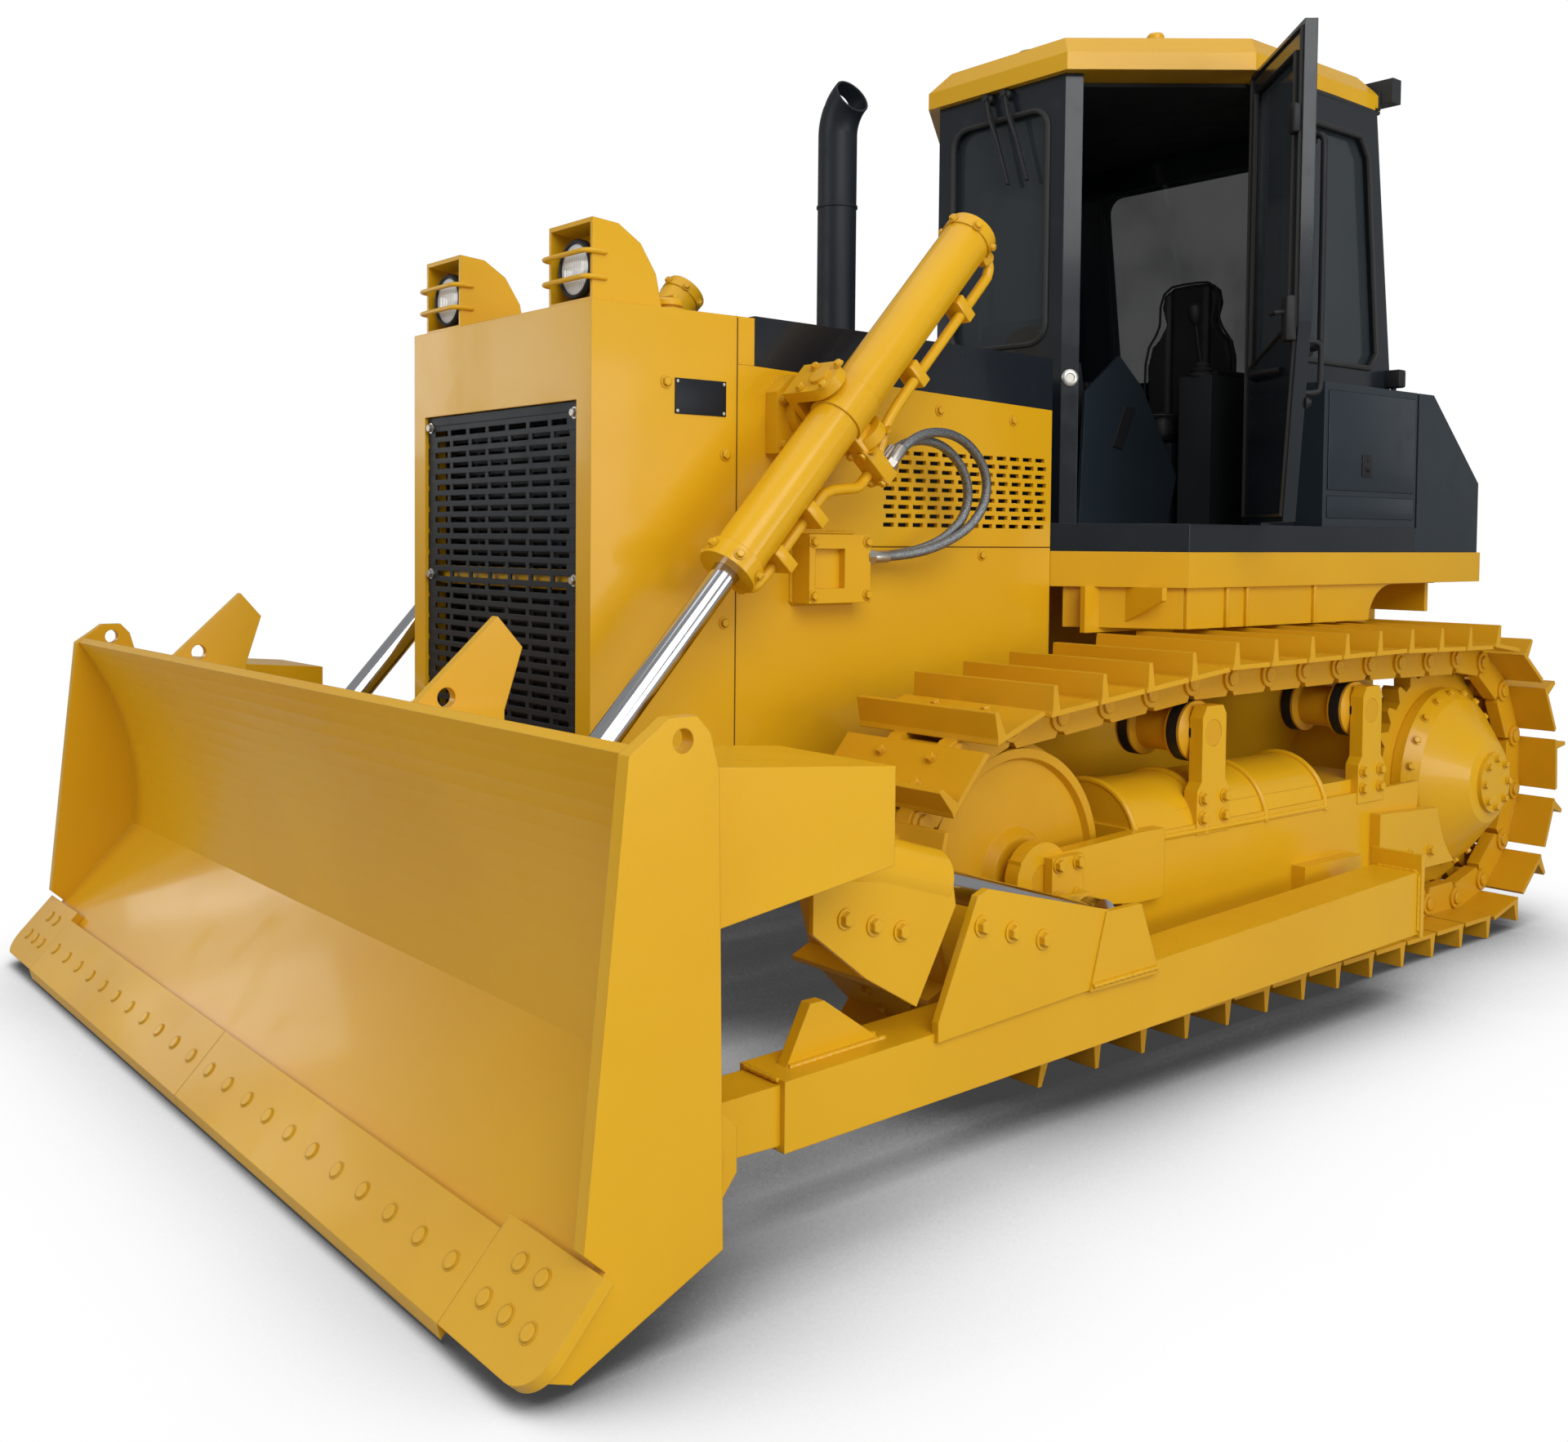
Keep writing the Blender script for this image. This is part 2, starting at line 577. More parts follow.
studs("track_bushings", "chassis", bushings, (0.030, 2 * RAIL_X - RAIL_W + 0.002), (0.020, 0.004),
      track_paint, 12)


# Roller frames and wheels: welded box beams with bolted caps on the idler shaft,
# banded covers over the recoil springs, and rollers with dark seal rings. The
# final drive cover is a casting held by a ring of bolts.
def fan(count, x, centre, r, way, turn_by=0.0):
    """Bolts on a circle about an X axis; way is (along x, along the radius)."""
    spots = []
    for i in range(count):
        a = 2 * math.pi * i / count + turn_by
        c, s = math.cos(a), math.sin(a)
        spots.append(((x, centre.x + r * c, centre.y + r * s), (way[0], way[1] * c, way[1] * s)))
    return spots


frame_bolts, drive_bolts = [], []
for side in (1, -1):
    for dy in (0.026, 0.106):
        for dz in (-0.044, 0.044):
            frame_bolts.append(((side * (TRACK_X + 0.233), IDLER.x + dy, IDLER.y + dz),
                                (side, 0, 0)))
    for at in CARRIERS:
        for dy, dz in ((-0.050, 0.610), (0.058, 0.610), (-0.050, 0.668), (0.058, 0.668)):
            frame_bolts.append(((side * (TRACK_X + 0.176), at.x + dy, dz), (side, 0, 0)))
    for y in (1.16, 1.30, 1.44):
        frame_bolts.append(((side * (TRACK_X + 0.210), y, 0.36), (side, 0, 0)))
    drive_bolts += fan(20, side * (TRACK_X + 0.095), SPROCKET, 0.311, (side * 0.605, 0.796), 0.1)
    drive_bolts += fan(8, side * (TRACK_X + 0.256), SPROCKET, 0.088, (side, 0))
studs("roller_frame_bolts", "chassis", frame_bolts, (0.021, 0.004), (0.0165, 0.014), yellow_paint)
studs("final_drive_bolts", "chassis", drive_bolts, (0.017, 0.003), (0.013, 0.012), yellow_paint)

COVER_Y = (-0.172, 0.160, 0.480, 0.822)
COVER_Z, COVER_R = 0.560, 0.170
bands = Solid()
for y in COVER_Y:
    arc = [math.pi * k / 24 for k in range(25)]
    bands.tube([(TRACK_X + COVER_R * math.cos(a), y, COVER_Z + COVER_R * math.sin(a)) for a in arc],
               0.011, 10)
for x in (-COVER_R, COVER_R):
    bands.tube([(TRACK_X + x, COVER_Y[0], COVER_Z + 0.012),
                (TRACK_X + x, COVER_Y[-1], COVER_Z + 0.012)], 0.010, 8)
bands.both().place("spring_cover_bands", "chassis", yellow_paint, "yellow_paint")

CARRIER_R = 0.092
seals = Solid()
for at in CARRIERS:
    z = at.y - 0.057 - CARRIER_R
    for x in (-0.112, 0.068):
        seals.turned((TRACK_X + x, at.x, z), (1, 0, 0),
                     [(0.080, 0.004), (CARRIER_R + 0.0015, 0.004), (CARRIER_R + 0.0015, 0.040),
                      (0.080, 0.040)],
                     40, closed=True)
    seals.turned((TRACK_X + 0.1285, at.x, z), (1, 0, 0),
                 [(0.058, 0), (0.058, 0.006), (0.046, 0.012), (0.041, 0.012)], 32)
seals.both().place("carrier_roller_seals", "chassis", dull_black, "black_paint")


# Welds: ripple-faced fillets along the joints of the fabricated plates, painted
# over with the rest. Each rides on the body that its plates belong to.
def weld(solid, a, b, r=0.0065):
    a, b = Vector(a), Vector(b)
    count = max(4, int((b - a).length / 0.006))
    solid.tube([a.lerp(b, i / count) for i in range(count + 1)],
               lambda t: r * (1 + 0.16 * math.sin(t * count * 1.7)), 6)


ARM_X = 1.327
arm_welds = Solid()
for dx in (-0.082, -0.062, 0.094, 0.062):
    weld(arm_welds, (ARM_X + dx, -0.752, 0.335), (ARM_X + dx, -0.490, 0.338))
for dx in (-0.017, 0.017):
    weld(arm_welds, (ARM_X + dx, -1.672, 0.307), (ARM_X + dx, -1.388, 0.316))
for z in (0.165, 0.304):
    weld(arm_welds, (ARM_X - 0.055, -1.733, z), (ARM_X + 0.055, -1.733, z))
weld(arm_welds, (ARM_X + 0.076, 0.874, 0.215), (ARM_X + 0.076, 0.874, 0.395))
weld(arm_welds, (ARM_X - 0.060, 0.874, 0.401), (ARM_X + 0.070, 0.874, 0.401))
arm_welds.place("push_arm_welds", "push_arm_left", yellow_paint, "yellow_paint")
blade_welds = Solid()
for x in (0.766, 0.792):
    for side in (-1, 1):
        weld(blade_welds, (side * x, -2.262, 1.072), (side * x, -2.216, 1.000))
for side in (-1, 1):
    weld(blade_welds, (side * 1.229, -2.118, 1.020), (side * 1.586, -2.118, 1.020))
    weld(blade_welds, (side * 1.630, -2.118, 1.000), (side * 1.630, -2.100, 0.200))
blade_welds.place("blade_welds", "blade", yellow_paint, "yellow_paint")
nose_welds = Solid()
for front, rear, z in ((-1.046, -0.830, 1.667), (-0.950, -0.715, 1.450), (-0.950, -0.715, 1.248)):
    weld(nose_welds, (0.493, front, z), (0.493, rear, z))
for y in (-0.951, -0.714):
    weld(nose_welds, (0.493, y, 1.250), (0.493, y, 1.445))
nose_welds.both().place("nose_welds", "chassis", yellow_paint, "yellow_paint")


# Cutting edges and end bits: hardened flat bars held to the mouldboard by round
# countersunk plough bolts, one row along the edges and five on each end bit.
EDGE_TIP = Vector((-2.513, 0.010))
EDGE_UP = (Vector((-2.120, 0.430)) - EDGE_TIP).normalized()
EDGE_OUT = Vector((-EDGE_UP.y, EDGE_UP.x))
BLADE_HALF = 1.694


def on_edge(x, up_slope, out=0.028):
    at = EDGE_TIP + EDGE_UP * up_slope + EDGE_OUT * out
    return ((x, at.x, at.y), (0, EDGE_OUT.x, EDGE_OUT.y))


edge_bolts = [on_edge(side * (0.065 + 0.1255 * i), 0.112) for i in range(11) for side in (1, -1)]
for side in (1, -1):
    edge_bolts += [on_edge(side * (BLADE_HALF - d), 0.178) for d in (0.205, 0.130)]
    edge_bolts += [on_edge(side * (BLADE_HALF - d), 0.098) for d in (0.235, 0.160, 0.085)]
studs("plough_bolts", "blade", edge_bolts, (0.0205, 0.0012), (0.0165, 0.004), edge_paint,
      20)

arm_pin_bolts = []
for dx, way in ((-0.167, -1), (0.167, 1)):
    for a in (0.6, 2.7, 4.8):
        arm_pin_bolts.append(((ARM_X + dx, -2.010 + 0.026 * math.cos(a),
                               0.232 + 0.026 * math.sin(a)), (way, 0, 0)))
studs("arm_pin_bolts", "blade", arm_pin_bolts, (0.010, 0.002), (0.008, 0.007), yellow_paint)


# Push arm guards: bent plates over the tilt cylinder and its rod, each held by
# three bolts with plain washers.
studs("rod_guard_bolts", "push_arm_left",
      [((1.414, y, z), (1, 0, 0)) for y, z in ((-1.150, 0.545), (-1.045, 0.515), (-0.935, 0.480))],
      (0.026, 0.004), (0.018, 0.014), yellow_paint)
studs("tube_guard_bolts", "tilt_cylinder",
      [((1.399, y, z), (1, 0, 0)) for y, z in ((-1.563, 0.621), (-1.478, 0.594), (-1.396, 0.569))],
      (0.024, 0.004), (0.017, 0.013), yellow_paint)


# Lift cylinders: honed barrels with steel pipes to the two ends, clamped along
# the back of the barrel, and bolted caps on the yokes that carry them.
LIFT_AT = Vector((0.698, -0.938, 1.787))
LIFT_DOWN = Vector((0, -0.980, -1.068)).normalized()
LIFT_FORE = Vector((0, LIFT_DOWN.z, -LIFT_DOWN.y))


def lift_point(along, fore, across, side):
    at = LIFT_AT + Vector((across, 0, 0)) + LIFT_DOWN * along + LIFT_FORE * fore
    return Vector((side * at.x, at.y, at.z))


LIFT_PIPE_R = 0.0155
for side, body in ((1, "lift_cylinder_left"), (-1, "lift_cylinder_right")):
    pipes = Solid()
    upper = [(-0.700, -0.068, 0.020), (-0.700, -0.088, 0.020), (-0.692, -0.104, 0.020),
             (-0.672, -0.114, 0.020),
             (-0.640, -0.118, 0.020), (-0.400, -0.118, 0.020), (-0.200, -0.118, 0.020),
             (-0.080, -0.124, 0.020),
             (-0.030, -0.142, 0.020), (0.012, -0.160, 0.018)]
    lower = [(0.058, -0.195, -0.016), (0.095, -0.195, -0.016), (0.120, -0.186, -0.016),
             (0.170, -0.140, -0.016),
             (0.200, -0.120, -0.016), (0.240, -0.112, -0.016), (0.470, -0.112, -0.016),
             (0.530, -0.110, -0.016),
             (0.560, -0.102, -0.016), (0.575, -0.085, -0.016), (0.578, -0.066, -0.016)]
    for run in (upper, lower):
        pipes.tube(smooth_path([lift_point(*p, side) for p in run], 5), LIFT_PIPE_R, 14)
    for along, fore in ((-0.520, -0.118), (-0.250, -0.118), (0.300, -0.112), (0.460, -0.112)):
        clamp = Solid().block((-0.030, -0.030, -0.018), (0.040, 0.048, 0.018), 0.004)
        aim = Matrix((Vector((side, 0, 0)), LIFT_FORE, LIFT_DOWN)).transposed().to_4x4()
        pipes.join(clamp, Matrix.Translation(lift_point(along, fore, 0, side)) @ aim)
    port = Solid().block((-0.036, -0.242, 0.010), (0.036, -0.060, 0.060), 0.005)
    pipes.join(port, Matrix.Translation(lift_point(0, 0, 0, side)) @ aim)
    for along, fore, across in ((-0.700, -0.060, 0.020), (0.578, -0.060, -0.016)):
        pipes.turned(lift_point(along, fore - 0.012, across, side), LIFT_FORE,
                     [(0.026, -0.014), (0.026, 0.012)], 6)
    pipes.place(body + "_pipes", body, yellow_paint, "yellow_paint")
    cap_bolts = []
    for fore, way in ((0.1205, 1), (-0.1205, -1)):
        for across in (-0.046, 0.046):
            for along in (-0.040, 0.040):
                cap_bolts.append((lift_point(along, fore, across - 0.004, side), LIFT_FORE * way))
    for along in (-0.700, 0.574):
        for k in range(6):
            a = math.pi * (k + 0.5) / 3
            lean = LIFT_FORE * math.sin(a) + Vector((side * math.cos(a), 0, 0))
            r = 0.0772 if along < 0 else 0.0812
            cap_bolts.append((lift_point(along, 0, 0, side) + lean * r, lean))
    for fore in (-0.225, -0.120):
        for across in (-0.024, 0.024):
            cap_bolts.append((lift_point(0.060, fore, across, side), LIFT_DOWN))
    studs(body + "_bolts", body, cap_bolts, (0.015, 0.003), (0.0115, 0.010), yellow_paint)

bracket_bolts = []
for side in (1, -1):
    for dy, dz in ((-0.088, -0.095), (0.088, -0.095), (-0.088, 0.030), (0.088, 0.030)):
        bracket_bolts.append(((side * 0.542, LIFT_AT.y + dy, LIFT_AT.z + dz), (side, 0, 0)))
    for y, z in ((-0.936, 1.272), (-0.730, 1.272), (-0.936, 1.424), (-0.730, 1.424)):
        bracket_bolts.append(((side * 0.572, y, z), (side, 0, 0)))
studs("lift_bracket_bolts", "chassis", bracket_bolts, (0.017, 0.003), (0.013, 0.011), yellow_paint)


# Nose and hood: folded sheet covers held by bolts, a slotted screen of pressed
# sheet over the grille, a filler cap behind the left lamp, and a blank black
# rating plate on the side of the guard.
NOSE_HALF, NOSE_Z, NOSE_Y = 0.492, 2.039, -1.624
cover_bolts = []
for side in (1, -1):
    for y, z in ((-0.358, 1.828), (-0.021, 1.816), (-0.700, 1.846), (-1.000, 1.868)):
        cover_bolts.append(((side * NOSE_HALF, y, z), (side, 0, 0)))
    for z in (1.20, 1.66):
        cover_bolts.append(((side * NOSE_HALF, -1.190, z), (side, 0, 0)))
    for y in (-1.08, -0.62, -0.16):
        cover_bolts.append(((side * NOSE_HALF, y, 1.385), (side, 0, 0)))
    cover_bolts.append(((side * NOSE_HALF, -1.390, 1.844), (side, 0, 0)))
studs("cover_bolts", "chassis", cover_bolts, (0.018, 0.003), (0.013, 0.009), yellow_paint)

SCREEN_Y, SCREEN_HALF, SCREEN_LOW, SCREEN_TOP = NOSE_Y + 0.010, 0.420, 0.856, 1.785
ROWS, COLUMNS, BAR, RIM = 27, 7, 0.0165, 0.026
SCREEN_T, STAGGER, STRUT_HALF = 0.005, 0.014, 0.009
screen = Solid()
row_step = (SCREEN_TOP - SCREEN_LOW - 2 * RIM - BAR) / ROWS
for i in range(ROWS + 1):
    low = SCREEN_LOW + RIM + i * row_step
    screen.plate([(-SCREEN_HALF, low), (SCREEN_HALF, low), (SCREEN_HALF, low + BAR),
                  (-SCREEN_HALF, low + BAR)],
                 "y", SCREEN_Y, SCREEN_T)
for i in range(ROWS):
    low, shift = SCREEN_LOW + RIM + i * row_step + BAR, (i % 2 - 0.5) * STAGGER
    for j in range(COLUMNS + 1):
        x = shift + (SCREEN_HALF - RIM) * (2 * j / COLUMNS - 1)
        half = STRUT_HALF if 0 < j < COLUMNS else RIM
        ends = max(-SCREEN_HALF, x - half), min(SCREEN_HALF, x + half)
        screen.plate([(ends[0], low), (ends[1], low), (ends[1], low + row_step - BAR),
                      (ends[0], low + row_step - BAR)],
                     "y", SCREEN_Y, SCREEN_T)
for low, high in ((SCREEN_LOW, SCREEN_LOW + RIM), (SCREEN_TOP - RIM, SCREEN_TOP)):
    screen.plate([(-SCREEN_HALF, low), (SCREEN_HALF, low), (SCREEN_HALF, high),
                  (-SCREEN_HALF, high)], "y", SCREEN_Y, SCREEN_T)
screen.place("grille_screen", "chassis", pipe_black, "grille_black")
stay = Solid().block((-0.421, SCREEN_Y + 0.022, 1.290), (0.421, SCREEN_Y + 0.034, 1.345), 0.003)
stay.place("grille_stay", "chassis", yellow_paint, "yellow_paint")
studs("grille_bolts", "chassis",
      [((x, SCREEN_Y, z), (0, -1, 0)) for x in (-0.400, 0.400) for z in (0.900, 1.318, 1.755)],
      (0.016, 0.003), (0.012, 0.010), fitting_steel)

seams = Solid()
for x in (NOSE_HALF + 0.0005, -NOSE_HALF - 0.0005):
    seams.tube([(x, -1.150, 0.800), (x, -1.150, NOSE_Z - 0.004)], 0.002, 6)
    seams.tube([(x, -1.145, 1.410), (x, 0.168, 1.410)], 0.002, 6)
seams.tube([(-NOSE_HALF + 0.004, -1.150, NOSE_Z), (NOSE_HALF - 0.004, -1.150, NOSE_Z)], 0.002, 6)
seam_paint = paint("seam_paint", (0.20, 0.090, 0.004), (0.14, 0.060, 0.003), (0.24, 0.12, 0.02),
                   0.45, 0.0)
seams.place("cover_seams", "chassis", seam_paint, "yellow_paint")

cap = Solid()
cap.turned((0.415, -1.335, NOSE_Z), (0, 0, 1),
           [(0.050, -0.002), (0.050, 0.008), (0.036, 0.010), (0.036, 0.014),
            (0.046, 0.016), (0.046, 0.030), (0.040, 0.035), (0.012, 0.036)], 24)
cap.block((0.372, -1.342, NOSE_Z + 0.032), (0.458, -1.328, NOSE_Z + 0.044), 0.004)
cap.place("coolant_filler_cap", "chassis", yellow_paint, "yellow_paint")

rating = Solid().block((NOSE_HALF - 0.001, -1.361, 1.762), (NOSE_HALF + 0.003, -1.189, 1.857),
                       0.001)
rating.place("rating_plate", "chassis", pipe_black, "black_paint")
studs("rating_plate_rivets", "chassis",
      [((NOSE_HALF + 0.003, y, z), (1, 0, 0)) for y in (-1.353, -1.197) for z in (1.770, 1.849)],
      (0.0045, 0.0006), (0.0032, 0.0016), fitting_steel, 10)


# Head lamps: round sealed lamps in folded yellow housings, each behind two
# steel guard bars.
LAMP_X, LAMP_Z = 0.352, NOSE_Z + 0.095
for side, name in ((1, "left"), (-1, "right")):
    bars = Solid()
    for z in (NOSE_Z + 0.062, NOSE_Z + 0.128):
        bars.tube(smooth_path([(side * x, y, z) for x, y in (
            (0.243, -1.560), (0.243, -1.596), (0.250, -1.614), (0.268, -1.621), (0.352, -1.622),
            (0.437, -1.621), (0.455, -1.614), (0.462, -1.596), (0.462, -1.560))], 4), 0.007, 10)
    bars.place("lamp_guard_bars_" + name, "chassis", yellow_paint, "yellow_paint")
    bezel = Solid().turned((side * LAMP_X, -1.578, LAMP_Z), (0, -1, 0),
                           [(0.066, -0.010), (0.079, -0.008), (0.080, 0.004), (0.074, 0.012),
                            (0.067, 0.010)],
                           36, closed=True)
    bezel.place("lamp_bezel_" + name, "chassis", dull_black, "black_paint")
    dome = Solid().turned((side * LAMP_X, -1.580, LAMP_Z), (0, -1, 0),
                          [(0.068, -0.004), (0.067, 0.004), (0.058, 0.009), (0.040, 0.013),
                           (0.018, 0.0155), (0.004, 0.016)], 36)
    dome.place("lamp_lens_" + name, "chassis", lamp_lens, "lamp_glass")


# Side sheets under the deck: welded plates over the inner half of the track, with
# flat ribs, and a round cut at the rear where the track climbs the sprocket.
DECK_LOW, SHEET_LOW, SHEET_X, SHEET_T = 1.2825, 1.148, 0.820, 0.012
CUT_L, CUT_H = 0.165, 0.131
sheets = Solid()
cut = [(1.735 - CUT_L * math.cos(a), SHEET_LOW + CUT_H * math.sin(a))
       for a in (math.pi / 2 * k / 10 for k in range(11))]
sheets.plate([(0.445, DECK_LOW), (0.445, SHEET_LOW), *cut, (2.050, SHEET_LOW + CUT_H),
              (2.050, DECK_LOW)],
             "x", SHEET_X, SHEET_T)
for y in (0.650, 0.765, 1.180):
    sheets.block((SHEET_X + 0.010, y, SHEET_LOW), (SHEET_X + 0.024, y + 0.016, DECK_LOW), 0.003)
inner, outer = Vector((0.505, 0.225)), Vector((SHEET_X, 0.445))
slant = outer - inner
aside = Vector((slant.y, -slant.x)).normalized() * SHEET_T
sheets.plate([(c.x, c.y) for c in (inner, outer, outer + aside, inner + aside)],
             "z", SHEET_LOW, DECK_LOW - SHEET_LOW)
sheets.both().place("deck_side_sheets", "chassis", yellow_paint, "yellow_paint")


# Exhaust: a painted steel pipe with a clamp at the hood and a rolled lip at the
# slanted mouth.
PIPE_AT, PIPE_R = Vector((-0.120, -0.235)), 0.066
collar = Solid()
for low, wide in ((2.036, 0.016), (2.060, 0.008)):
    collar.turned((PIPE_AT.x, PIPE_AT.y, low), (0, 0, 1),
                  [(PIPE_R, 0), (PIPE_R + wide, 0), (PIPE_R + wide, 0.012), (PIPE_R, 0.018)], 40,
                  closed=True)
collar.turned((PIPE_AT.x, PIPE_AT.y, 2.560), (0, 0, 1),
              [(PIPE_R - 0.002, -0.006), (PIPE_R + 0.004, -0.004), (PIPE_R + 0.004, 0.004),
               (PIPE_R - 0.002, 0.006)],
              40, closed=True)
collar.place("exhaust_collars", "chassis", pipe_black, "exhaust_black")


# Cab glazing and roof: rubber seals round the panes, two wipers hung from the top
# of the windscreen, a lined roof with a drip rail along its sides and back, grab
# rails, and a lock on the door post.
FRONT_Y, SIDE_X = 0.445, 0.739


def round_box(w, h, r, steps=6):
    corners = ((w - r, r, -90), (w - r, h - r, 0), (r, h - r, 90), (r, r, 180))
    return [(x + r * math.cos(math.radians(a + 90 * k / steps)),
             y + r * math.sin(math.radians(a + 90 * k / steps)))
            for x, y, a in corners for k in range(steps + 1)]


def rear_y(z):
    return 1.854 - 0.142 * (z - 2.046) / 1.004


seal = Solid()
seal.tube([(x - 0.225, FRONT_Y - 0.001, z + 2.130) for x, z in round_box(0.450, 0.820, 0.070)],
          0.011, 8, True)
seal.tube([(x - 0.520, rear_y(z + 2.120) + 0.001, z + 2.120)
           for x, z in round_box(1.040, 0.820, 0.080)], 0.011, 8, True)
side_pane = [(0, 0.060), (0.060, 0), (0.600, 0), (0.650, 0.060), (0.560, 0.780), (0.500, 0.850),
             (0.060, 0.850), (0, 0.790)]
for x in (SIDE_X + 0.001, -SIDE_X - 0.001):
    seal.tube([(x, 1.095 + u, 2.090 + v) for u, v in side_pane], 0.011, 8, True)
seal.place("pane_seals", "chassis", rubber, "cab_trim")

wipers = Solid()
for top, foot in (((-0.042, 3.030), (0.038, 2.772)), ((0.044, 3.030), (0.126, 2.771))):
    a, b = Vector((top[0], FRONT_Y - 0.030, top[1])), Vector((foot[0], FRONT_Y - 0.022, foot[1]))
    middle = a.lerp(b, 0.62)
    wipers.turned((top[0], FRONT_Y + 0.002, top[1]), (0, -1, 0),
                  [(0.020, 0), (0.020, 0.020), (0.012, 0.028), (0.012, 0.042), (0.004, 0.044)], 20)
    wipers.tube([a, a.lerp(middle, 0.5) + Vector((0, -0.010, 0)), middle], 0.0065, 8)
    along = (b - a).normalized()
    wipers.tube([middle - along * 0.150, middle, middle + along * 0.170], 0.006, 8)
    wipers.tube([middle - along * 0.150 + Vector((0, 0.008, 0)),
                 middle + along * 0.170 + Vector((0, 0.008, 0))], 0.005, 6)
wipers.place("windscreen_wipers", "chassis", dull_black, "black_paint")


def roof_plan(d):
    ring = [(0.290 + d, FRONT_Y + 0.010 - d), (0.699 + d, 0.955 - d), (0.699 + d, 1.690 + d)]
    return ring + [(-x, y) for x, y in reversed(ring)]


lining = Solid().plate(roof_plan(-0.070), "z", 3.036, 0.013)
lining.place("roof_lining", "chassis", trim_grey, "cab_trim")
drip = Solid().tube([(x, max(y, 1.030), 3.050) for x, y in roof_plan(0.036)[1:5]], 0.010, 8)
drip.place("roof_drip_rail", "chassis", rubber, "cab_trim")
plugs = Solid()
for x in (-0.430, 0.430):
    plugs.turned((x, 0.770, 3.183), (0, 0, 1),
                 [(0.040, 0), (0.040, 0.010), (0.030, 0.014), (0.030, 0.026), (0.024, 0.034),
                  (0.006, 0.036)], 24)
plugs.place("roof_plugs", "chassis", yellow_paint, "yellow_paint")

FACET = Vector((0.417, 0.538)).normalized()
lock_at = Vector((0.300, FRONT_Y)) + FACET * 0.031
lock = Solid().turned((lock_at.x, lock_at.y, 2.000), (FACET.y, -FACET.x, 0),
                      [(0.030, -0.002), (0.030, 0.004), (0.024, 0.008), (0.016, 0.008),
                       (0.014, 0.004), (0.004, 0.004)], 28)
lock.place("door_post_lock", "chassis", fitting_steel, "rod_chrome")
rails = Solid()
rails.tube(smooth_path([(SIDE_X, 1.282, 2.130), (SIDE_X + 0.030, 1.282, 2.132),
                        (SIDE_X + 0.044, 1.282, 2.150),
                        (SIDE_X + 0.046, 1.281, 2.200), (SIDE_X + 0.046, 1.280, 2.500),
                        (SIDE_X + 0.046, 1.278, 2.820),
                        (SIDE_X + 0.044, 1.278, 2.866), (SIDE_X + 0.030, 1.278, 2.884),
                        (SIDE_X, 1.278, 2.886)], 5), 0.012, 12)
for z in (2.130, 2.886):
    rails.turned((SIDE_X, 1.280, z), (1, 0, 0),
                 [(0.030, 0), (0.030, 0.004), (0.018, 0.010), (0.013, 0.010)], 20)
rails.both().place("cab_grab_rails", "chassis", dull_black, "black_paint")


# Doors: welded steel frames with a pane in rubber, an outside pull handle with a
# push button, an inside catch box, and a hold-back catch.
HINGE = Vector((0.717, 0.983, 0))
FACET_A = math.atan2(0.538, 0.417)
DOOR_L, DOOR_T, DOOR_OPEN = 0.6107, 0.040, math.radians(86)
pane = [(-0.095, 2.030), (-DOOR_L + 0.080, 2.120), (-DOOR_L + 0.075, 2.962), (-0.095, 2.962)]
for name, side, opened in (("door_left", 1, DOOR_OPEN), ("door_right", -1, 0.0)):
    hang = Matrix.Translation(HINGE) @ Matrix.Rotation(FACET_A + opened, 4, "Z")
    if side < 0:
        hang = Matrix.Diagonal((-1, 1, 1, 1)) @ hang
    gasket = Solid()
    for y in (-0.001, DOOR_T + 0.001):
        gasket.tube([(x, y, z) for x, z in pane], 0.010, 8, True)
    gasket.tube([(x, DOOR_T + 0.001, z) for x, z in ((-0.040, 1.520), (-DOOR_L + 0.130, 1.520),
                                                     (-DOOR_L + 0.018, 2.115),
                                                     (-DOOR_L + 0.018, 3.022), (-0.040, 3.022))],
                0.008, 8, True)
    Solid().join(gasket, hang).place(name + "_seals", name, rubber, "cab_trim")
    handle = Solid()
    handle.tube(smooth_path([(-DOOR_L + 0.050, y, z)
                             for y, z in ((0.002, 1.900), (-0.030, 1.902), (-0.044, 1.915),
                                          (-0.046, 1.960),
                                          (-0.046, 2.010), (-0.044, 2.045), (-0.030, 2.058),
                                          (0.002, 2.060))], 4), 0.009, 10)
    handle.turned((-DOOR_L + 0.050, 0.001, 1.870), (0, -1, 0),
                  [(0.018, 0), (0.018, 0.010), (0.012, 0.012), (0.012, 0.018), (0.003, 0.019)], 20)
    handle.block((-DOOR_L + 0.012, DOOR_T - 0.001, 2.060), (-DOOR_L + 0.072, DOOR_T + 0.034, 2.200),
                 0.006)
    handle.tube([(-DOOR_L + 0.040, DOOR_T + 0.030, 2.150), (-DOOR_L + 0.044, DOOR_T + 0.056, 2.150),
                 (-DOOR_L + 0.090, DOOR_T + 0.060, 2.150)], 0.007, 8)
    handle.block((-DOOR_L + 0.010, DOOR_T - 0.001, 2.700), (-DOOR_L + 0.060, DOOR_T + 0.026, 2.790),
                 0.006)
    handle.tube(smooth_path([(-0.150 - 0.30 * t, DOOR_T + 0.045 * math.sin(math.pi * t) + 0.004,
                              1.985) for t in
                             (0, 0.08, 0.2, 0.35, 0.5, 0.65, 0.8, 0.92, 1)], 3), 0.010, 10)
    Solid().join(handle, hang).place(name + "_handles", name, dull_black, "black_paint")


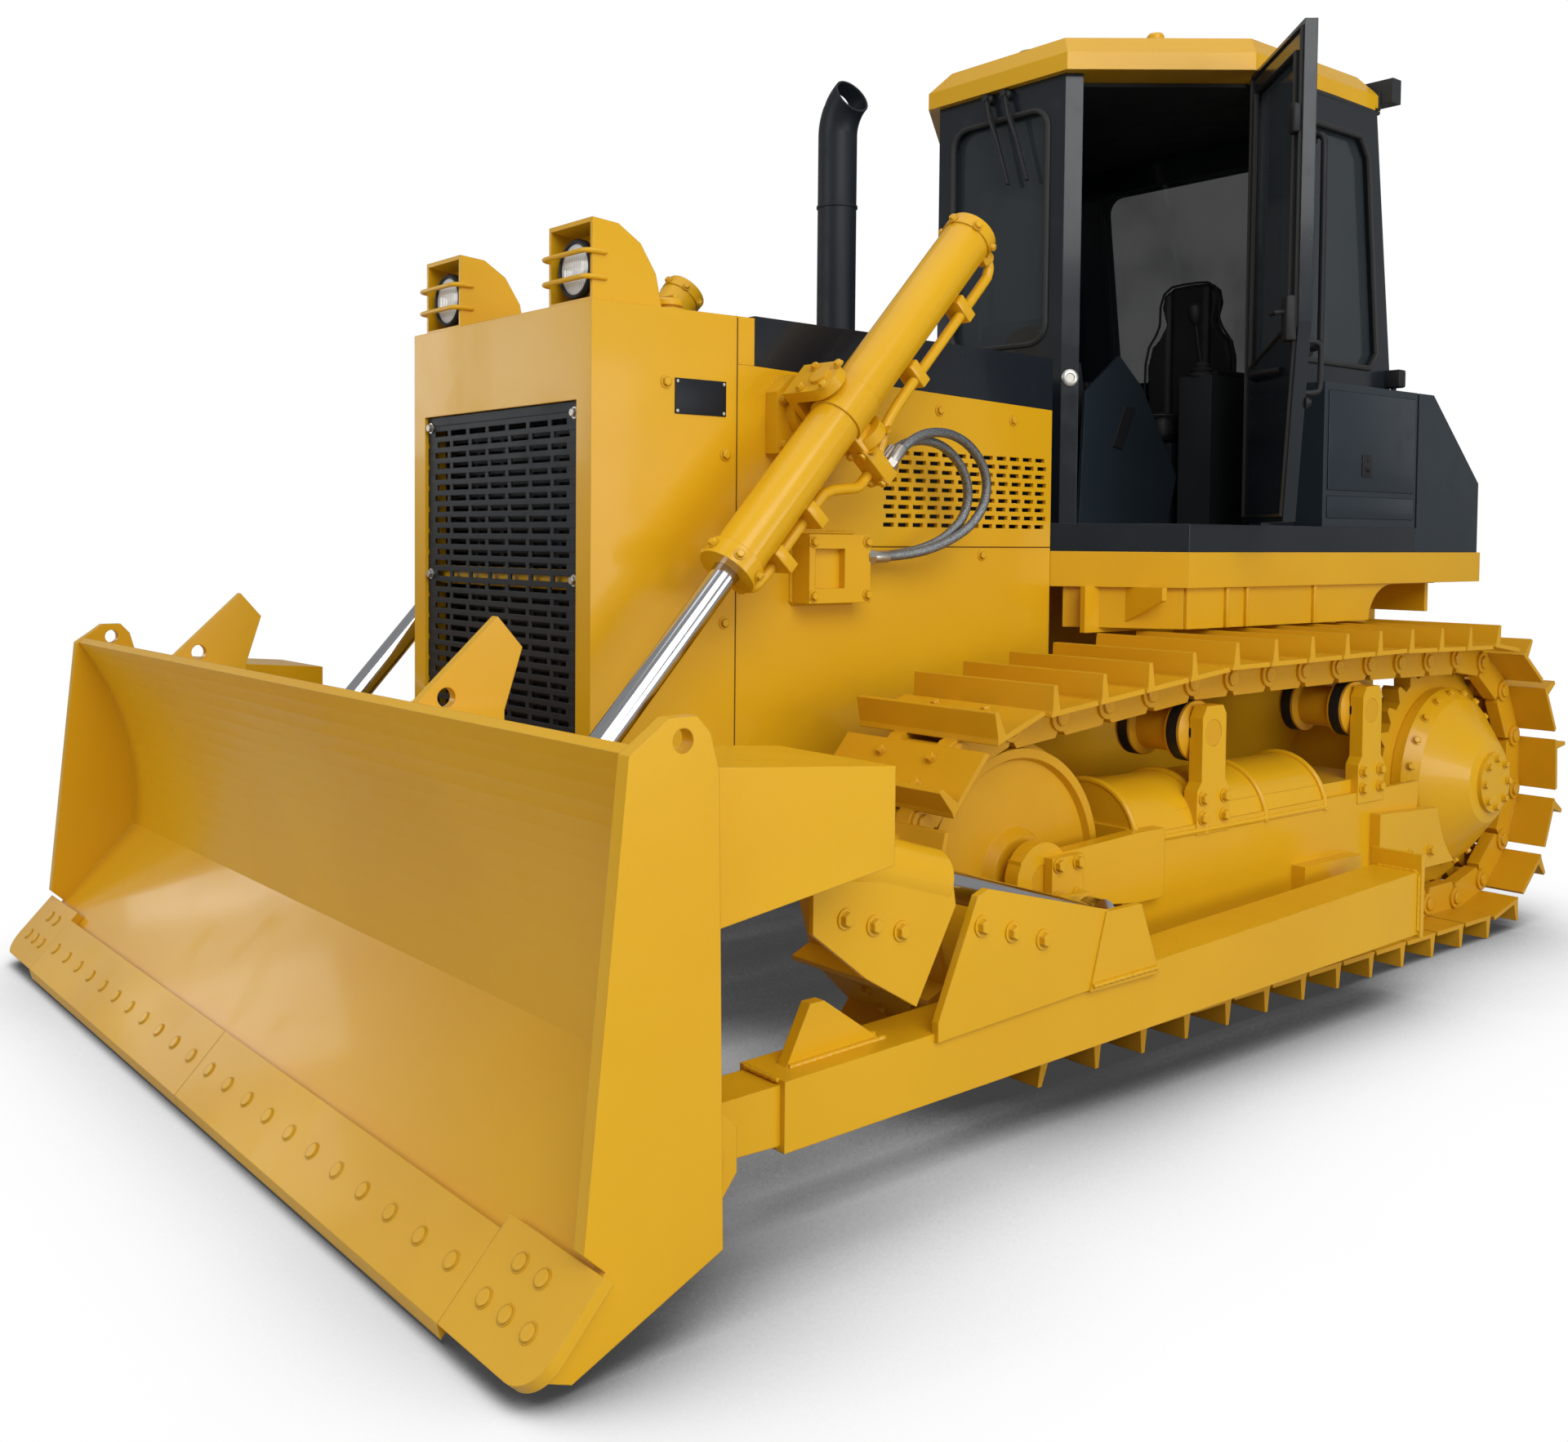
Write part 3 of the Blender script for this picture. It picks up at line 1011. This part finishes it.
# Lamps on the cab and tank: dark boxes with clear lenses on bent brackets, two
# at the rear corners of the roof and two on the tank.
rear_lens, lamp_boxes = Solid(), Solid()
rear_lens.block((0.690, 1.788, 3.092), (0.778, 1.797, 3.158), 0.004)
lamp_boxes.tube([(0.734, 1.726, 3.125), (0.734, 1.726, 3.060), (0.734, 1.700, 3.056)], 0.010, 8)
lamp_boxes.block((0.722, 1.812, 2.024), (0.800, 1.862, 2.092), 0.008)
lamp_boxes.tube([(0.761, 1.840, 2.000), (0.761, 1.840, 2.030)], 0.011, 10)
rear_lens.block((0.729, 1.858, 2.031), (0.793, 1.866, 2.085), 0.003)
rear_lens.both().place("rear_lamp_lenses", "chassis", lamp_lens, "lamp_glass")
lamp_boxes.both().place("rear_lamp_boxes", "chassis", dull_black, "black_paint")


# Side boxes and tank: welded sheet boxes on the deck, with a lift-up lid, a
# recessed latch, and a filler cap on top of the tank.
lids = Solid()
lids.block((0.842, 1.245, 1.620), (0.848, 1.850, 1.975), 0.004)
lids.block((0.842, 1.245, 1.520), (0.847, 1.850, 1.600), 0.004)
lids.both().place("side_box_lids", "chassis", slate_paint, "slate_paint")
latch = Solid()
latch.block((0.846, 1.470, 1.672), (0.853, 1.534, 1.752), 0.003)
latch.turned((0.852, 1.502, 1.712), (1, 0, 0),
             [(0.018, 0), (0.018, 0.004), (0.012, 0.006), (0.003, 0.006)], 20)
latch.block((0.854, 1.498, 1.690), (0.862, 1.506, 1.734), 0.002)
latch.both().place("side_box_latches", "chassis", dull_black, "black_paint")
filler = Solid().turned((-0.420, 1.940, 2.000), (0, 0, 1),
                        [(0.075, 0), (0.075, 0.008), (0.058, 0.010), (0.058, 0.030), (0.066, 0.032),
                         (0.066, 0.056), (0.058, 0.062), (0.010, 0.064)], 32)
filler.place("fuel_filler_cap", "chassis", dull_black, "black_paint")
tank_bolts = [((x, 2.364, z), (0, 1, 0)) for x in (-0.78, -0.40, 0, 0.40, 0.78)
              for z in (1.440, 1.640)]
studs("tank_bolts", "chassis", tank_bolts, (0.020, 0.003), (0.015, 0.012), slate_paint)


# Inside the cab: an instrument binnacle on the front console, a painted kick
# panel with a grip by the door, control levers in rubber boots on the side
# consoles, pedals and armrests.
panel = Solid()
panel.plate([(0.500, 2.118), (0.690, 2.078), (0.700, 2.190), (0.640, 2.235), (0.540, 2.235)], "x",
            -0.150, 0.300)
panel.place("instrument_binnacle", "chassis", trim_grey, "cab_trim")
dials = Solid()
for x in (-0.090, 0, 0.090):
    dials.turned((x, 0.694, 2.135), (0, 1, 0.09),
                 [(0.036, 0), (0.036, 0.010), (0.031, 0.012), (0.029, 0.006), (0.004, 0.006)], 24)
dials.place("instrument_dials", "chassis", fitting_steel, "rod_chrome")
kick = Solid().plate([(0.558, 1.494), (0.583, 1.960), (0.773, 2.102), (0.906, 1.999),
                      (1.126, 1.679), (1.074, 1.494)],
                     "x", 0.284, 0.014)
kick.place("kick_panel", "chassis", slate_paint, "slate_paint")
grip = Solid().plate([(0.735, 1.775), (0.790, 1.765), (0.865, 1.915), (0.805, 1.925)], "x", 0.297,
                     0.006)
grip.place("kick_panel_grip", "chassis", dull_black, "black_paint")
levers, boots = Solid(), Solid()
for x, lean in ((0.370, -0.05), (-0.370, -0.04), (-0.340, 0.03)):
    foot = Vector((x, 1.220 + lean, 2.050))
    boots.turned(foot, (0, 0, 1), [(0.048, 0), (0.050, 0.008), (0.036, 0.016), (0.042, 0.024),
                                   (0.028, 0.034), (0.032, 0.042), (0.014, 0.056)], 20)
    top = foot + Vector((0, -0.045, 0.200))
    levers.tube([foot + Vector((0, 0, 0.03)), foot.lerp(top, 0.6), top], 0.008, 10)
    levers.turned(top, (0, -0.2, 1), [(0.014, -0.010), (0.024, 0.010), (0.027, 0.036),
                                      (0.022, 0.060), (0.008, 0.070)], 18)
for x in (-0.100, 0.020, 0.120):
    levers.block((x - 0.035, 0.868, 1.560), (x + 0.035, 0.884, 1.660), 0.006)
    levers.tube([(x, 0.874, 1.600), (x, 0.840, 1.570), (x, 0.815, 1.500)], 0.010, 8)
for x in (-0.340, 0.280):
    levers.block((x, 1.300, 2.052), (x + 0.070, 1.600, 2.092), 0.018)
levers.place("control_levers", "chassis", dull_black, "black_paint")
boots.place("lever_boots", "chassis", rubber, "cab_trim")


# Seat: foam pads under black vinyl, sewn with a welt round each face and two
# channels down the middle, on a sprung base.
vinyl, vinyl_shader, vinyl_place = new_material("seat_vinyl_skin")
grain = vinyl_place.node("ShaderNodeTexVoronoi", {"feature": "DISTANCE_TO_EDGE"},
                         Vector=vinyl_place, Scale=320.0)
shine = vinyl_place.noise(6.0, 3.0)
feed(vinyl_shader, Base_Color=shine.tint((0.016, 0.016, 0.018), (0.030, 0.030, 0.032)), IOR=1.5,
     Roughness=0.38 + shine * 0.2,
     Normal=vinyl_place.node("ShaderNodeBump", Strength=0.5, Distance=0.0006,
                             Height=grain.above(0.0, 0.12)))


VOXEL, PRESSURE, FRAMES = 0.006, 4.0, 20
SEAM_DEPTH = SEAM_HALF = 0.012


def padded(name, pad, low, high, cap, seams_at, face):
    made = pad.place(name, "chassis", vinyl, "seat_vinyl", 80)
    remesh = made.modifiers.new("remesh", "REMESH")
    remesh.mode = "VOXEL"
    remesh.voxel_size = VOXEL
    cloth = made.modifiers.new("cloth", "CLOTH")
    cloth.settings.use_pressure = True
    cloth.settings.uniform_pressure_force = PRESSURE
    cloth.settings.effector_weights.gravity = 0.0
    for step in range(1, FRAMES + 1):
        bpy.context.scene.frame_set(step)
    graph = bpy.context.evaluated_depsgraph_get()
    swollen = bpy.data.meshes.new_from_object(made.evaluated_get(graph))
    made.modifiers.clear()
    middle = (Vector(low) + Vector(high)) / 2
    half = (Vector(high) - Vector(low)) / 2
    for vertex in swollen.vertices:
        for k in range(3):
            reach = half[k] + cap
            vertex.co[k] = middle[k] + max(-reach, min(reach, vertex.co[k] - middle[k]))
        groove = min(abs(vertex.co.x - x) for x in seams_at)
        if (vertex.co[face[0]] - middle[face[0]]) * face[1] > half[face[0]] * 0.5:
            vertex.co[face[0]] -= face[1] * SEAM_DEPTH * math.exp(-(groove / SEAM_HALF) ** 2)
    old = made.data
    made.data = swollen
    bpy.data.meshes.remove(old)
    swollen.polygons.foreach_set("use_smooth", [True] * len(swollen.polygons))
    return made


CUSHION = (-0.236, 1.132, 1.818), (0.236, 1.576, 1.914)
BACK = (-0.226, 1.614, 1.836), (0.226, 1.654, 2.500)
back_half = [(0.186, 1.836), (0.220, 1.870), (0.226, 1.950), (0.222, 2.180), (0.205, 2.250),
             (0.168, 2.300),
             (0.150, 2.340), (0.148, 2.420), (0.130, 2.470), (0.090, 2.496), (0.040, 2.500)]
back_outline = back_half + [(-x, z) for x, z in reversed(back_half)]
cushion = padded("seat_cushion", Solid().block(*CUSHION, 0.030), *CUSHION, 0.014, (-0.090, 0.090),
                 (2, 1))
backrest = padded("seat_backrest", Solid().plate(back_outline, "y", 1.614, 0.040), *BACK, 0.010,
                  (-0.090, 0.090), (1, -1))
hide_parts("seat")
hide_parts("seat")
welt = Solid()
welt.tube([(x - 0.226, 1.142 + y, 1.916) for x, y in round_box(0.452, 0.424, 0.050)], 0.005, 8,
          True)
welt.tube([(0.95 * x, 1.610, 2.168 + 0.97 * (z - 2.168)) for x, z in back_outline], 0.005, 8, True)
welt.place("seat_welts", "chassis", vinyl, "seat_vinyl")
